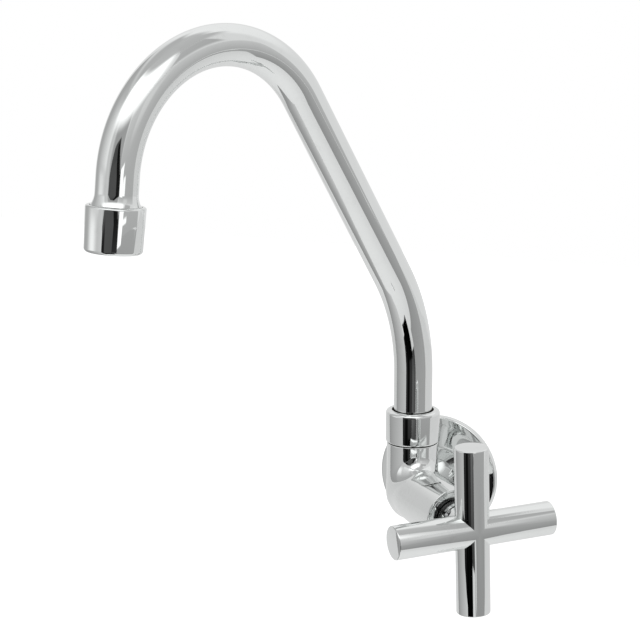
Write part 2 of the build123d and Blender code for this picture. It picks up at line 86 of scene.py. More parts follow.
def selectEdges(piece, test):  # test gets the two ends of an edge
    work = bmesh.from_edit_mesh(piece.data)
    for edge in work.edges:
        edge.select_set(test(edge.verts[0].co, edge.verts[1].co))
    bmesh.update_edit_mesh(piece.data)


def settle(piece, name, smoothAngle=32):  # place goes into the mesh, and the shading is set
    pick(piece)
    bpy.ops.object.transform_apply(location=True, rotation=True, scale=True)
    bpy.ops.object.shade_smooth_by_angle(angle=radians(smoothAngle))
    piece.name = name
    piece.data.name = name
    freshStart()
    return piece


def drawOutline(start, steps):  # one vertex, drawn out corner by corner
    bpy.ops.mesh.primitive_plane_add(size=mm, location=start)
    bpy.ops.object.mode_set(mode="EDIT")
    bpy.ops.mesh.select_mode(type="VERT")
    bpy.ops.mesh.select_all(action="SELECT")
    bpy.ops.mesh.merge(type="CENTER")
    for step in steps:
        bpy.ops.mesh.extrude_region_move(TRANSFORM_OT_translate={"value": step})


def latheTurn(name, outline, foot, axis, segments=160):
    # a closed outline of (radius, height) in mm is turned; foot and axis carry it into place
    freshStart()
    side = axis.orthogonal().normalized()
    places = [foot + side * r * mm + axis * h * mm for r, h in outline]
    places.append(places[0])
    drawOutline(places[0], [b - a for a, b in zip(places, places[1:])])
    piece = bpy.context.active_object
    bpy.ops.mesh.select_all(action="SELECT")
    bpy.ops.mesh.spin(steps=segments, angle=2 * pi, center=foot, axis=axis)
    bpy.ops.mesh.select_all(action="SELECT")
    bpy.ops.mesh.remove_doubles(threshold=mergeGap)
    bpy.ops.mesh.normals_make_consistent(inside=False)
    return settle(piece, name)


def roundCorner(before, at, after, radius, steps=6):  # points of a fillet in an outline, in mm
    a = Vector((before[0] - at[0], before[1] - at[1])).normalized()
    b = Vector((after[0] - at[0], after[1] - at[1])).normalized()
    half = a.angle(b) / 2
    reach = radius / sin(half) * cos(half)
    centre = Vector(at) + (a + b).normalized() * radius / sin(half)
    first = Vector(at) + a * reach - centre
    last = Vector(at) + b * reach - centre
    turn = first.angle_signed(last)
    return [tuple(centre + Matrix.Rotation(-turn * i / steps, 2) @ first) for i in range(steps + 1)]


def bar(radius, length, centre, axis, segments=128):
    bpy.ops.mesh.primitive_cylinder_add(
        vertices=segments, radius=radius * mm, depth=length * mm, location=centre,
        rotation=axis.to_track_quat("Z", "Y").to_euler())
    return bpy.context.active_object


def bevelRims(rod, width, segments=5):  # both end rims of a rod that still lies along its own Z
    openEdit(rod)
    top = max(v.co.z for v in rod.data.vertices)
    selectEdges(rod, lambda a, b: abs(abs(a.z) - top) < sameSpot and abs(a.z - b.z) < sameSpot)
    bpy.ops.mesh.bevel(
        offset=width * mm, offset_type="OFFSET", segments=segments, profile=0.5, affect="EDGES")
    freshStart()


def cutWith(piece, tool, operation):
    pick(piece)
    change = piece.modifiers.new(operation, "BOOLEAN")
    change.operation = operation
    change.solver = "EXACT"
    change.object = tool
    bpy.ops.object.modifier_apply(modifier=change.name)
    bpy.data.objects.remove(tool)


def dress(piece, material, body, *replaced, slot=None):
    piece.data.materials.clear()
    piece.data.materials.append(material)
    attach(piece, body)
    if replaced:
        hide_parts(*replaced)


# Shader helpers

def link(tree, fromNode, fromSocket, toNode, toSocket):
    tree.links.new(fromNode.outputs[fromSocket], toNode.inputs[toSocket])


def addNode(tree, kind, x, y, **values):
    node = tree.nodes.new(kind)
    node.location = (x, y)
    for key, value in values.items():
        if key in node.inputs.keys():
            node.inputs[key].default_value = value
        else:
            setattr(node, key, value)
    return node


def newGroup(name, inputs, outputs):
    group = bpy.data.node_groups.new(name, "ShaderNodeTree")
    for socketName, kind, value in inputs:
        socket = group.interface.new_socket(socketName, in_out="INPUT", socket_type=kind)
        socket.default_value = value
    for socketName, kind in outputs:
        group.interface.new_socket(socketName, in_out="OUTPUT", socket_type=kind)
    return group, addNode(group, "NodeGroupInput", -900, 0), addNode(group, "NodeGroupOutput", 900, 0)


def stretch(tree, source, low, high, x, y):  # spreads a noise between two of its values over 0 to 1
    node = addNode(tree, "ShaderNodeMapRange", x, y, interpolation_type="SMOOTHSTEP")
    node.inputs["From Min"].default_value = low
    node.inputs["From Max"].default_value = high
    tree.links.new(source, node.inputs["Value"])
    return node.outputs["Result"]


def multiply(tree, first, second, x, y):  # both are output sockets, and so is what comes back
    node = addNode(tree, "ShaderNodeMath", x, y, operation="MULTIPLY")
    tree.links.new(first, node.inputs[0])
    tree.links.new(second, node.inputs[1])
    return node.outputs["Value"]


# Noise scales, and the pair of noise values between which each mask rises from none to full
handling = {
    "cloudScale": 55.0, "cloudRange": (0.48, 0.74), "wipeScale": 420.0, "wipeRange": (0.42, 0.7),
    "dropScale": 170.0, "dropRange": (0.16, 0.08), "patchScale": 38.0, "patchRange": (0.55, 0.7),
    "peelScale": 900.0}


def makeHandledPolish():
    # Thin film from handling, dried drops and fine wiping marks on a polished metal
    group, given, out = newGroup(
        "handledPolish",
        [("Metal", "NodeSocketColor", (0.8, 0.8, 0.8, 1)), ("Film", "NodeSocketColor", (0.6, 0.6, 0.58, 1)),
         ("Film Amount", "NodeSocketFloat", 0.2), ("Drop Amount", "NodeSocketFloat", 0.1),
         ("Polish", "NodeSocketFloat", 0.03), ("Dulled", "NodeSocketFloat", 0.14)],
        [("Colour", "NodeSocketColor"), ("Roughness", "NodeSocketFloat")])
    place = addNode(group, "ShaderNodeTexCoord", -900, 300)

    def mask(kind, output, name, y, **values):
        texture = addNode(group, kind, -650, y, Scale=handling[name + "Scale"], **values)
        link(group, place, "Object", texture, "Vector")
        return stretch(group, texture.outputs[output], *handling[name + "Range"], -420, y)

    cloud = mask("ShaderNodeTexNoise", "Fac", "cloud", 300, Detail=5.0, Roughness=0.6)
    wipes = mask("ShaderNodeTexNoise", "Fac", "wipe", 60, Detail=3.0, Distortion=1.2)
    drops = mask("ShaderNodeTexVoronoi", "Distance", "drop", -180, Randomness=1.0)
    patches = mask("ShaderNodeTexNoise", "Fac", "patch", -420, Detail=2.0)
    film = multiply(group, cloud, wipes, -200, 240)
    film = multiply(group, film, given.outputs["Film Amount"], 0, 240)
    dried = multiply(group, drops, patches, -200, -240)
    dried = multiply(group, dried, given.outputs["Drop Amount"], 0, -200)
    both = addNode(group, "ShaderNodeMath", 200, 60, operation="ADD", use_clamp=True)
    group.links.new(film, both.inputs[0])
    group.links.new(dried, both.inputs[1])
    colour = addNode(group, "ShaderNodeMix", 420, 200, data_type="RGBA")
    link(group, both, "Value", colour, "Factor")
    link(group, given, "Metal", colour, 6)  # 6 and 7 are the mix node's colours, 2 is its colour output
    link(group, given, "Film", colour, 7)
    rough = addNode(group, "ShaderNodeMapRange", 420, -60)
    link(group, both, "Value", rough, "Value")
    link(group, given, "Polish", rough, "To Min")
    link(group, given, "Dulled", rough, "To Max")
    link(group, colour, 2, out, "Colour")
    link(group, rough, "Result", out, "Roughness")
    return group


def makeHandBuffed():
    # Slow waviness left by hand buffing, with faint orange peel under the plating
    group, given, out = newGroup(
        "handBuffed",
        [("Wave Size", "NodeSocketFloat", 90.0), ("Wave Height", "NodeSocketFloat", 1.0),
         ("Peel Height", "NodeSocketFloat", 0.04)],
        [("Height", "NodeSocketFloat")])
    place = addNode(group, "ShaderNodeTexCoord", -900, 200)
    wave = addNode(group, "ShaderNodeTexNoise", -600, 200, Detail=1.0, Roughness=0.4)
    peel = addNode(group, "ShaderNodeTexNoise", -600, -80, Scale=handling["peelScale"], Detail=2.0)
    link(group, place, "Object", wave, "Vector")
    link(group, place, "Object", peel, "Vector")
    link(group, given, "Wave Size", wave, "Scale")
    big = multiply(group, wave.outputs["Fac"], given.outputs["Wave Height"], -350, 200)
    small = multiply(group, peel.outputs["Fac"], given.outputs["Peel Height"], -350, -80)
    total = addNode(group, "ShaderNodeMath", -100, 60, operation="ADD")
    group.links.new(big, total.inputs[0])
    group.links.new(small, total.inputs[1])
    link(group, total, "Value", out, "Height")
    return group


handledPolish = makeHandledPolish()
handBuffed = makeHandBuffed()


def newMaterial(name):
    material = bpy.data.materials.new(name)
    material.use_nodes = True
    tree = material.node_tree
    return material, tree, tree.nodes["Principled BSDF"]


def useGroup(tree, group, x, y, look):  # takes the values that the group has sockets for
    node = addNode(tree, "ShaderNodeGroup", x, y)
    node.node_tree = group
    for key, value in look.items():
        if key in node.inputs:
            node.inputs[key].default_value = (*value, 1) if isinstance(value, tuple) else value
    return node


def makeFinish(name, look):
    material, tree, shader = newMaterial(name)
    shader.inputs["Metallic"].default_value = look["metallic"]
    polish = useGroup(tree, handledPolish, -500, 200, look)
    link(tree, polish, "Colour", shader, "Base Color")
    link(tree, polish, "Roughness", shader, "Roughness")
    buffed = useGroup(tree, handBuffed, -500, -200, look)
    bump = addNode(tree, "ShaderNodeBump", -250, -200, Strength=1.0, Distance=look["bump"] * mm)
    link(tree, buffed, "Height", bump, "Height")
    link(tree, bump, "Normal", shader, "Normal")
    return material


# Names with capitals are the groups' own sockets; the bump is in millimetres
plating = {
    "metallic": 1.0, "Metal": (0.80, 0.815, 0.81), "Film": (0.66, 0.67, 0.66), "Film Amount": 0.30,
    "Drop Amount": 0.25, "Polish": 0.035, "Dulled": 0.16, "Wave Size": 60.0, "Wave Height": 1.0,
    "Peel Height": 0.02, "bump": 0.02}
tubeChrome = makeFinish("tubeChrome", plating)
castChrome = makeFinish("castChrome", {**plating, "Wave Size": 110.0, "bump": 0.06, "Polish": 0.05})
turnedChrome = makeFinish("turnedChrome", {**plating, "Wave Size": 80.0, "bump": 0.015})
pressedChrome = makeFinish("pressedChrome", {**plating, "Wave Size": 75.0, "bump": 0.12})
print("materials ready")


# Spout tube: one ring drawn up the riser, round the bends and down to the outlet

tube = {
    "radius": 9.0, "wall": 1.05, "foot": 36.3, "riserTop": 57.5, "lowerBend": 90.0, "lean": 32.6,
    "leanLength": 103.0, "archRadius": 54.7, "archTurn": 141.6, "drop": 7.4, "segments": 96,
    "lowerSteps": 24, "archSteps": 96}


def makeSpoutTube():
    freshStart()
    foot = corner + up * tube["foot"] * mm
    bpy.ops.mesh.primitive_circle_add(
        vertices=tube["segments"], radius=tube["radius"] * mm, location=foot, fill_type="NOTHING")
    piece = bpy.context.active_object
    bpy.ops.object.mode_set(mode="EDIT")
    bpy.ops.mesh.select_all(action="SELECT")

    def run(direction, length):
        bpy.ops.mesh.extrude_region_move(TRANSFORM_OT_translate={"value": direction * length * mm})

    def bend(place, inward, radius, angle, steps):
        bpy.ops.mesh.spin(
            steps=steps, angle=radians(angle), center=place + inward * radius * mm, axis=spoutDir.cross(up))

    bendAxis = up.cross(spoutDir)
    run(up, tube["riserTop"] - tube["foot"])
    place = corner + up * tube["riserTop"] * mm
    bend(place, spoutDir, tube["lowerBend"], tube["lean"], tube["lowerSteps"])
    leanDir = Matrix.Rotation(radians(tube["lean"]), 3, bendAxis) @ up
    leanIn = Matrix.Rotation(radians(tube["lean"]), 3, bendAxis) @ spoutDir
    place = place + spoutDir * tube["lowerBend"] * mm - leanIn * tube["lowerBend"] * mm
    run(leanDir, tube["leanLength"])
    place = place + leanDir * tube["leanLength"] * mm
    bend(place, leanIn, tube["archRadius"], tube["archTurn"], tube["archSteps"])
    whole = Matrix.Rotation(radians(tube["lean"] + tube["archTurn"]), 3, bendAxis)
    place = place + (leanIn - whole @ spoutDir) * tube["archRadius"] * mm
    run(whole @ up, tube["drop"])
    place = place + whole @ up * tube["drop"] * mm
    bpy.ops.mesh.select_all(action="SELECT")
    bpy.ops.mesh.remove_doubles(threshold=mergeGap)
    bpy.ops.mesh.normals_make_consistent(inside=False)
    pick(piece)
    wall = piece.modifiers.new("wall", "SOLIDIFY")
    wall.thickness = tube["wall"] * mm
    wall.offset = -1
    bpy.ops.object.modifier_apply(modifier=wall.name)
    return settle(piece, "spoutTubePolished"), place, whole @ up


spoutTube, outletTop, outletDir = makeSpoutTube()
dress(spoutTube, tubeChrome, "spout", "spout_tube", slot="chrome")
print("spout tube ready")


# Outlet bush and aerator housing, turned round the outlet axis

outlet = {
    "flareLength": 4.7, "flareRadius": 10.3, "threadRadius": 10.8, "threadEnd": 18.05, "boreRadius": 6.6,
    "spigot": 5.0, "seam": 0.15, "topRadius": 12.55, "bottomRadius": 12.15, "length": 19.4,
    "shoulderRound": 0.9, "footRound": 1.6, "mouthRadius": 9.8, "lip": 3.2, "threadFit": 0.15,
    "tubeFit": 0.05, "flareSteps": 12, "footSteps": 10}


def makeOutletBush():
    o = outlet
    rise = o["flareLength"]
    spread = o["flareRadius"] - tube["radius"]
    sweepRadius = (rise ** 2 + spread ** 2) / (2 * spread)
    flare = []
    for i in range(o["flareSteps"] + 1):
        h = rise * i / o["flareSteps"]
        flare.append((tube["radius"] + sweepRadius - (sweepRadius ** 2 - h ** 2) ** 0.5, h))
    innerRadius = tube["radius"] - tube["wall"] - o["tubeFit"]
    outline = flare + [
        (o["threadRadius"], rise), (o["threadRadius"], o["threadEnd"]), (o["boreRadius"], o["threadEnd"]),
        (o["boreRadius"], -o["spigot"]), (innerRadius, -o["spigot"]), (innerRadius, 0)]
    return latheTurn("outletBushPolished", outline, outletTop, outletDir)


def makeAeratorHousing():
    o = outlet
    top = o["flareLength"] + o["seam"]
    bottom = top + o["length"]
    inner = o["threadRadius"] + o["threadFit"]
    topIn, topOut = (inner, top), (o["topRadius"], top)
    bottomOut, bottomIn = (o["bottomRadius"], bottom), (o["mouthRadius"], bottom)
    outline = [topIn]
    outline += roundCorner(topIn, topOut, bottomOut, o["shoulderRound"])
    outline += roundCorner(topOut, bottomOut, bottomIn, o["footRound"], o["footSteps"])
    outline += [bottomIn, (o["mouthRadius"], bottom - o["lip"]), (inner, bottom - o["lip"])]
    return latheTurn("aeratorHousingPolished", outline, outletTop, outletDir)


dress(makeOutletBush(), turnedChrome, "spout", "outlet_bush", slot="chrome")
dress(makeAeratorHousing(), turnedChrome, "spout", "aerator_housing", slot="chrome")
print("outlet ready")


# Collar nut

collar = {
    "radius": 12.7, "bottom": 24.3, "top": 39.6, "lipFoot": 37.4, "mouthRadius": 9.9, "innerRadius": 11.05,
    "topRound": 1.6, "topSteps": 10, "footRound": 0.9}


def makeCollarNut():
    c = collar
    footIn, footOut = (c["innerRadius"], c["bottom"]), (c["radius"], c["bottom"])
    topOut, topIn = (c["radius"], c["top"]), (c["mouthRadius"], c["top"])
    outline = [footIn]
    outline += roundCorner(footIn, footOut, topOut, c["footRound"])
    outline += roundCorner(footOut, topOut, topIn, c["topRound"], c["topSteps"])
    outline += [topIn, (c["mouthRadius"], c["lipFoot"]), (c["innerRadius"], c["lipFoot"])]
    return latheTurn("collarNutPolished", outline, corner, up)


collarNut = makeCollarNut()
dress(collarNut, turnedChrome, "tap_body", "collar_nut", slot="chrome")
print("collar ready")


# Wall flange: dished cover with a flat rim band

flange = {
    "radius": 29.6, "height": 4.6, "wall": 1.5, "rimHeight": 3.4, "rimBand": 3.4, "rimRound": 1.0,
    "dishDrop": 0.8, "dishEdge": 0.5, "hubRadius": 13.5, "boreRadius": 10.73, "footRing": 2.6,
    "rimSteps": 8, "dishSteps": 24, "segments": 192}


def makeWallFlange():
    f = flange
    dishRadius = f["radius"] - f["rimBand"] - f["dishEdge"]
    dishFront = f["rimHeight"] - f["dishDrop"]

    def dish(drop):
        points = []
        for i in range(f["dishSteps"] + 1):
            t = i / f["dishSteps"]
            points.append((
                dishRadius + (f["hubRadius"] - dishRadius) * t,
                dishFront + (f["height"] - dishFront) * ease(t) - drop))
        return points

    foot, rim = (f["radius"], 0), (f["radius"], f["rimHeight"])
    crease = (f["radius"] - f["rimBand"], f["rimHeight"])
    outline = [(f["radius"] - f["footRing"], 0), foot]
    outline += roundCorner(foot, rim, crease, f["rimRound"], f["rimSteps"]) + [crease]
    outline += dish(0) + [(f["boreRadius"], f["height"]), (f["boreRadius"], f["height"] - f["wall"])]
    outline += dish(f["wall"])[::-1] + [(f["radius"] - f["footRing"], dishFront - f["wall"])]
    return latheTurn("wallFlangePressed", outline, wallCentre, outward, f["segments"])


dress(makeWallFlange(), pressedChrome, "tap_body", "wall_flange", slot="chrome")
print("flange ready")


# Elbow casting: three round-ended rods melted together, then the machined rims and bores

casting = {
    "socketRadius": 12.15, "socketTop": 23.9, "bossRadius": 13.4, "bossSwell": 15.0, "bossEnd": 46.5,
    "neckRadius": 11.4, "neckEnd": 4.6, "saddleRound": 5.0, "saddleMore": 5.2, "neckRound": 4.0,
    "leastRound": 0.8, "edgeBreak": 0.4, "edgeSteps": 4, "grain": 0.55, "rodLength": 60, "rodSegments": 96,
    "presses": 4, "smoothAngle": 30}
castingBores = {  # what each rim is carried on through, as (radius, height) in mm from the rod's foot
    "socket": [(10.9, 23.9), (10.9, 34.0), (8.6, 34.0), (8.6, 12.0)],
    "boss": [(12.35, 46.5), (12.35, 42.9), (10.6, 42.9), (10.6, 12.5)],
    "neck": [(9.6, 4.6), (9.6, 2.0), (10.48, 2.0), (10.48, -12.2), (9.68, -13.0), (6.5, -13.0), (6.5, 38.5)]}
castingRods = (
    ("socketRadius", corner, up), ("bossRadius", corner, valveDir),
    ("neckRadius", outward * layout["wallToSpout"] * mm, -outward))


def meltRods(points):  # distance of each point to the melted rods in metres, and the way out
    here, out = None, None
    for radiusName, foot, axis in castingRods:
        along = np.maximum((points - np.array(foot)) @ np.array(axis), 0)
        away = points - np.array(foot) - along[:, None] * np.array(axis)
        far = np.linalg.norm(away, axis=1)
        radius = casting[radiusName] * np.ones(len(points))
        if radiusName == "bossRadius":  # the boss swells out of the socket's own ball
            rise = np.clip(along / mm / casting["bossSwell"], 0, 1)
            radius -= (radius - casting["socketRadius"]) * (1 - ease(rise))
        depth, way = far - radius * mm, away / far[:, None]
        if here is None:
            here, out = depth, way
            continue
        widest = casting["neckRound" if radiusName == "neckRadius" else "saddleRound"] * mm
        if radiusName == "bossRadius":  # softer on the side away from the wall
            front = np.clip((way + out) @ -np.array(valveSide) / 2, 0, 1)
            widest = widest + front * casting["saddleMore"] * mm
        soft = np.clip(1 - (way * out).sum(1), 0, 1) * widest + casting["leastRound"] * mm
        a, b = np.maximum(soft - here, 0), np.maximum(soft - depth, 0)
        nearest = np.where((here < depth)[:, None], out, way)
        mixed = out * a[:, None] + way * b[:, None]
        length = np.linalg.norm(mixed, axis=1)[:, None]
        out = np.where(length > noLength, mixed / np.maximum(length, noLength), nearest)
        here = np.maximum(soft, np.minimum(here, depth)) - np.hypot(a, b)
    return here, out


def pressOntoRods(piece):
    spots = np.empty(len(piece.data.vertices) * 3)
    piece.data.vertices.foreach_get("co", spots)
    spots = spots.reshape(-1, 3)
    for _ in range(casting["presses"]):
        depth, way = meltRods(spots)
        spots = spots - way * depth[:, None]
    piece.data.vertices.foreach_set("co", spots.ravel())
    piece.data.update()


def trim(piece, place, axis):  # takes off what lies beyond a plane
    openEdit(piece)
    bpy.ops.mesh.select_all(action="SELECT")
    bpy.ops.mesh.bisect(plane_co=place, plane_no=axis, clear_outer=True, threshold=sameSpot)
    freshStart()


def growRim(piece, foot, axis, outline):  # an open rim goes on through (radius, height) in mm and is closed
    openEdit(piece)
    work = bmesh.from_edit_mesh(piece.data)
    start = outline[0][1] * mm
    rim = [
        e for e in work.edges
        if e.is_boundary and all(abs((v.co - foot) @ axis - start) < mergeGap for v in e.verts)]
    for n, (radius, height) in enumerate(outline):
        if n:
            grown = bmesh.ops.extrude_edge_only(work, edges=rim)["geom"]
            rim = [e for e in grown if isinstance(e, bmesh.types.BMEdge)]
        for vertex in {v for e in rim for v in e.verts}:
            away = vertex.co - foot
            away -= axis * (away @ axis)
            vertex.co = foot + away.normalized() * radius * mm + axis * height * mm
    bmesh.ops.contextual_create(work, geom=rim)
    bmesh.update_edit_mesh(piece.data)
    freshStart()


def makeCasting():
    c = casting
    freshStart()
    rods = []
    for radiusName, foot, axis in castingRods:
        radius = c[radiusName]
        middle = foot + axis * c["rodLength"] / 2 * mm
        rods.append(bar(radius, c["rodLength"], middle, axis, c["rodSegments"]))
        bpy.ops.mesh.primitive_uv_sphere_add(
            segments=c["rodSegments"], ring_count=c["rodSegments"] // 2, radius=radius * mm, location=foot)
        rods.append(bpy.context.active_object)
    for rod in rods:
        rod.select_set(True)
    bpy.ops.object.join()
    piece = bpy.context.active_object
    bpy.ops.object.transform_apply(location=True, rotation=True, scale=True)
    skin = piece.modifiers.new("skin", "REMESH")
    skin.mode = "VOXEL"
    skin.voxel_size = c["grain"] * mm
    bpy.ops.object.modifier_apply(modifier=skin.name)
    pressOntoRods(piece)
    trim(piece, corner + up * (c["socketTop"] - c["edgeBreak"]) * mm, up)
    trim(piece, corner + valveDir * (c["bossEnd"] - c["edgeBreak"]) * mm, valveDir)
    trim(piece, outward * c["neckEnd"] * mm, -outward)

    def brokenEdge(radius, end):
        e, turn = c["edgeBreak"], pi / 2 / c["edgeSteps"]
        return [
            (radius - e + e * cos(a * turn), end - e + e * sin(a * turn)) for a in range(c["edgeSteps"] + 1)]

    growRim(piece, corner, up, brokenEdge(c["socketRadius"], c["socketTop"]) + castingBores["socket"])
    growRim(piece, corner, valveDir, brokenEdge(c["bossRadius"], c["bossEnd"]) + castingBores["boss"])
    growRim(piece, wallCentre, outward, [(c["neckRadius"], c["neckEnd"])] + castingBores["neck"])
    openEdit(piece)
    bpy.ops.mesh.select_all(action="SELECT")
    bpy.ops.mesh.normals_make_consistent(inside=False)
    return settle(piece, "bodyCastingPolished", c["smoothAngle"])


bodyCasting = makeCasting()
dress(bodyCasting, castChrome, "tap_body", "body_casting", slot="chrome")
print("casting ready:", len(bodyCasting.data.polygons))


# Valve bonnet: nearly flat face with two spanner holes, and the keyed bore behind

bonnet = {
    "tail": 25.2, "threadRadius": 10.45, "flangeFoot": 44.1, "faceRadius": 12.3, "faceEnd": 46.3,
    "faceRound": 0.6, "faceRise": 0.05, "ringSeatRadius": 8.7, "ringSeat": 45.35, "seatRound": 0.4,
    "seatSteps": 4, "journalBore": 4.6, "shoulder": 36.1, "keyRadius": 7.7, "keyFlat": 6.1, "keyBlock": 40,
    "holeRadius": 0.8, "holeCircle": 10.4, "holeDepth": 1.4, "holeTurns": (45, 225), "holeSegments": 32,
    "toolOver": 2, "smoothAngle": 25}  # toolOver: how far the cutting tools stand out


def makeValveBonnet():
    b = bonnet
    foot, rim = (b["faceRadius"], b["flangeFoot"]), (b["faceRadius"], b["faceEnd"])
    faceFoot = (b["ringSeatRadius"], b["faceEnd"] + b["faceRise"])
    seat, journal = (b["ringSeatRadius"], b["ringSeat"]), (b["journalBore"], b["ringSeat"])
    outline = [(0, b["tail"]), (b["threadRadius"], b["tail"]), (b["threadRadius"], b["flangeFoot"]), foot]
    outline += roundCorner(foot, rim, faceFoot, b["faceRound"])
    outline += roundCorner(rim, faceFoot, seat, b["seatRound"], b["seatSteps"])
    outline += [seat, journal, (b["journalBore"], b["shoulder"]), (0, b["shoulder"])]
    piece = latheTurn("valveBonnetPolished", outline, corner, valveDir)
    length = b["shoulder"] - b["tail"]
    middle = corner + valveDir * (b["shoulder"] - length / 2 - b["toolOver"] / 2) * mm
    key = bar(b["keyRadius"], length + b["toolOver"], middle, valveDir)
    bpy.ops.mesh.primitive_cube_add(
        size=mm, location=middle, scale=(2 * b["keyFlat"], b["keyBlock"], b["keyBlock"]),
        rotation=valveSide.to_track_quat("X", "Z").to_euler())
    cutWith(key, bpy.context.active_object, "INTERSECT")
    cutWith(piece, key, "DIFFERENCE")
    for angle in b["holeTurns"]:
        around = Matrix.Rotation(radians(angle), 3, valveDir) @ valveSide
        height = b["faceEnd"] - b["holeDepth"] + b["toolOver"]
        place = corner + (valveDir * height + around * b["holeCircle"]) * mm
        tool = bar(b["holeRadius"], 2 * b["toolOver"], place, valveDir, b["holeSegments"])
        cutWith(piece, tool, "DIFFERENCE")
    return settle(piece, "valveBonnetPolished", b["smoothAngle"])


dress(makeValveBonnet(), turnedChrome, "tap_body", "valve_bonnet", slot="chrome")
print("bonnet ready")


# Cross handle: two bars with broken edges, joined on the valve axis, over a short skirt

cross = {
    "reach": 65.5, "armRadius": 7.75, "armHalf": 38.7, "armEdge": 0.5, "turn": 1.8, "skirtRadius": 8.4,
    "skirtStart": 50.0, "sleeveBore": 5.55, "sleeveEnd": 61.35, "grubPlace": 53.6, "grubTurn": 52.0,
    "grubBore": 2.05, "grubLength": 12, "grubMiddle": 9, "grubSegments": 48, "toolOver": 5,
    "smoothAngle": 25}


def makeCrossHandle():
    c = cross
    freshStart()
    centre = corner + valveDir * c["reach"] * mm
    turned = Matrix.Rotation(radians(c["turn"]), 3, valveDir)
    arms = []
    for direction in (up, valveSide):
        arm = bar(c["armRadius"], 2 * c["armHalf"], centre, turned @ direction)
        bevelRims(arm, c["armEdge"])
        arms.append(arm)
    skirtLength = c["reach"] - c["skirtStart"]
    skirtMiddle = corner + valveDir * (c["skirtStart"] + skirtLength / 2) * mm
    skirt = bar(c["skirtRadius"], skirtLength, skirtMiddle, valveDir)
    boreLength = c["sleeveEnd"] - c["skirtStart"] + c["toolOver"]
    boreMiddle = corner + valveDir * (c["skirtStart"] + c["sleeveEnd"] - c["toolOver"]) / 2 * mm
    bore = bar(c["sleeveBore"], boreLength, boreMiddle, valveDir)
    grubDir = Matrix.Rotation(radians(c["grubTurn"]), 3, valveDir) @ up
    grubMiddle = corner + valveDir * c["grubPlace"] * mm + grubDir * c["grubMiddle"] * mm
    grubHole = bar(c["grubBore"], c["grubLength"], grubMiddle, grubDir, c["grubSegments"])
    handle = arms[0]
    cutWith(handle, arms[1], "UNION")
    cutWith(handle, skirt, "UNION")
    cutWith(handle, bore, "DIFFERENCE")
    cutWith(handle, grubHole, "DIFFERENCE")
    return settle(handle, "crossHandlePolished", c["smoothAngle"])


dress(makeCrossHandle(), turnedChrome, "handle", "handle_cross", slot="chrome")
print("handle ready")


# Small pieces keep their CAD shape and get their finishes

finishes = {
    "brass": {"metallic": 1.0, "Metal": (0.72, 0.53, 0.27), "Film": (0.42, 0.29, 0.15), "Film Amount": 0.6,
              "Drop Amount": 0.3, "Polish": 0.25, "Dulled": 0.45, "Wave Size": 500.0, "bump": 0.02},
    "steel": {"metallic": 1.0, "Metal": (0.56, 0.56, 0.57), "Film": (0.35, 0.34, 0.33), "Film Amount": 0.5,
              "Drop Amount": 0.25, "Polish": 0.28, "Dulled": 0.48, "Wave Size": 700.0, "bump": 0.02},
    "rubber": {"metallic": 0.0, "Metal": (0.003, 0.003, 0.003), "Film": (0.012, 0.012, 0.012),
               "Film Amount": 0.5, "Drop Amount": 0.25, "Polish": 0.22, "Dulled": 0.42, "Wave Size": 900.0,
               "bump": 0.03},
    # stained: near-black finish, used below as painted shade on the inner faces of bores and on the collar's
    # foot
    "stained": {"metallic": 0.3, "Metal": (0.035, 0.028, 0.018), "Film": (0.015, 0.013, 0.01),
                "Film Amount": 0.7, "Drop Amount": 0.35, "Polish": 0.5, "Dulled": 0.7, "Wave Size": 600.0,
                "bump": 0.03},
    "plastic": {"metallic": 0.0, "Metal": (0.72, 0.72, 0.69), "Film": (0.55, 0.53, 0.48), "Film Amount": 0.4,
                "Drop Amount": 0.2, "Polish": 0.4, "Dulled": 0.6, "Wave Size": 800.0, "bump": 0.02}}
plainGrain = {"Wave Height": 1.0, "Peel Height": 0.5}  # the same on all of them
slotOf = {row["node"]: row["material_slot"] for row in frame["record"]["subparts"]}
finishOf = {slot: makeFinish(slot + "Finish", {**look, **plainGrain}) for slot, look in finishes.items()}
for nodeName, node in nodes.items():
    if slotOf[nodeName] in finishOf:
        node.data.materials.clear()
        node.data.materials.append(finishOf[slotOf[nodeName]])


# Inner faces of the bores and the collar's foot get a near-black finish as painted shade: the piece, the
# axis through the corner, and in mm how far from the axis they reach and between which heights they lie
paintedShadeFaces = (
    (bodyCasting, up, 11.6, 13.0, 24.5), (bodyCasting, valveDir, 12.38, 13.0, 46.4),
    (collarNut, up, 11.1, 24.0, 39.5), (collarNut, up, 12.0, 24.0, 24.35))


# paints shade: faces within the radius and between the heights get the near-black finish
def paintShadeInside(piece, axis, radius, low, high):
    if len(piece.data.materials) == 1:  # only its plating so far
        piece.data.materials.append(finishOf["stained"])
    for face in piece.data.polygons:
        away = face.center - corner
        height = away @ axis
        if low * mm < height < high * mm and (away - axis * height).length < radius * mm:
            face.material_index = 1


for shadeEntry in paintedShadeFaces:
    paintShadeInside(*shadeEntry)
print("small pieces ready")


# Studio: white surroundings, with soft boxes and shades that only the chrome sees

studio = {
    "aim": (-0.01, -0.09, 0.08), "around": 0.81, "floor": -1.35, "floorSize": 14.0, "floorRough": 0.8,
    "floorColour": (0.88, 0.88, 0.88, 1), "floorGlow": 0.45, "lampPower": 15.0, "lampSize": 0.9,
    "lampPlace": (0.15, -0.75, 1.05), "sheetColumns": 24, "sheetRows": 12}

